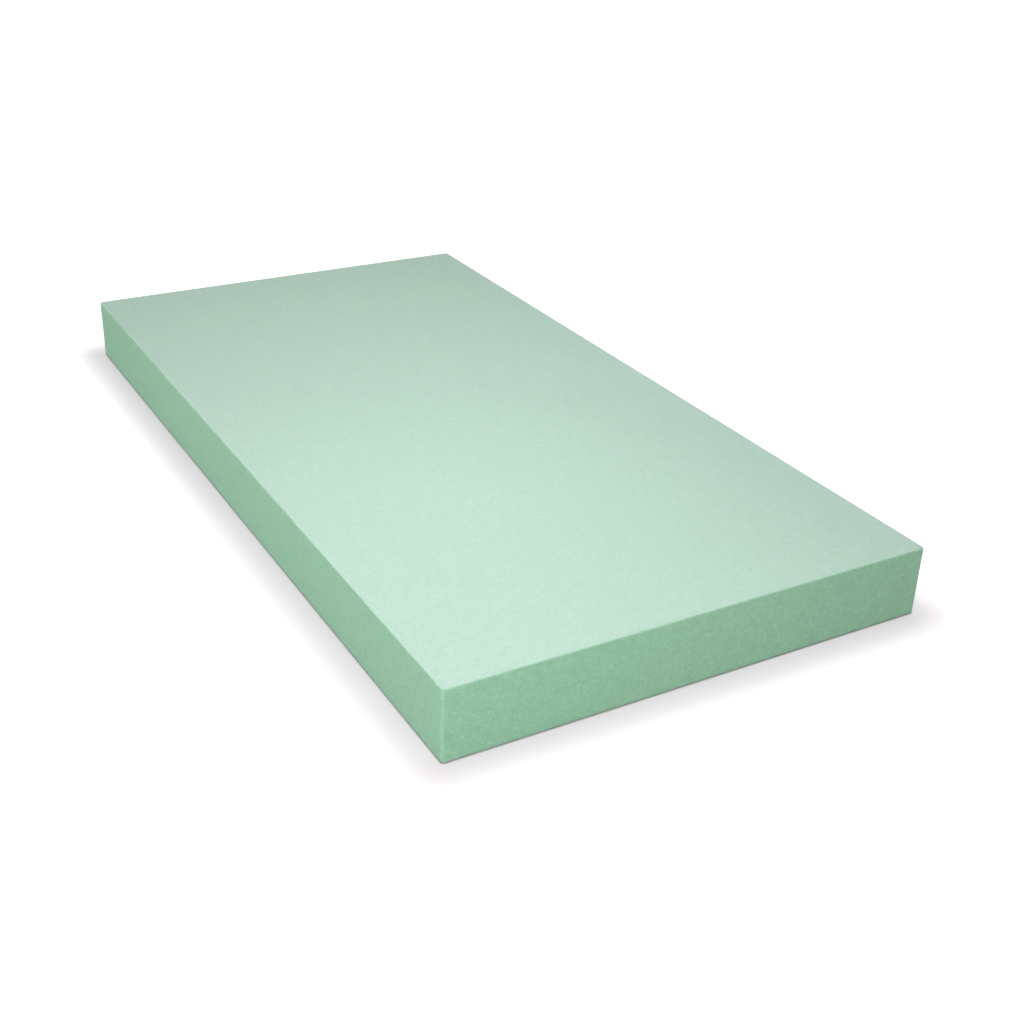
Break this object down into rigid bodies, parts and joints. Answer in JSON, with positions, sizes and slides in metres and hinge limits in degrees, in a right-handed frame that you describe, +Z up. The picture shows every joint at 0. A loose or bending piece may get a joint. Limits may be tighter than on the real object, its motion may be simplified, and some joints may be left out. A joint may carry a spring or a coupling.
{
  "type": "foam block",
  "caption": "Flat rectangular slab of open-cell foam with lightly rounded edges, for padding, seating or bedding.",
  "frame": {"origin": "centre of the underside, on the surface that the block lies on", "axes": "+X across the width, +Y along the length, +Z up through the thickness"},
  "size_m": [0.7, 1.35, 0.1],
  "materials": {
    "foam": "saw-cut open-cell polyurethane foam, pale mint green, matt"
  },
  "bodies": {
    "root": {"foam_block": "foam"}
  },
  "joints": []
}
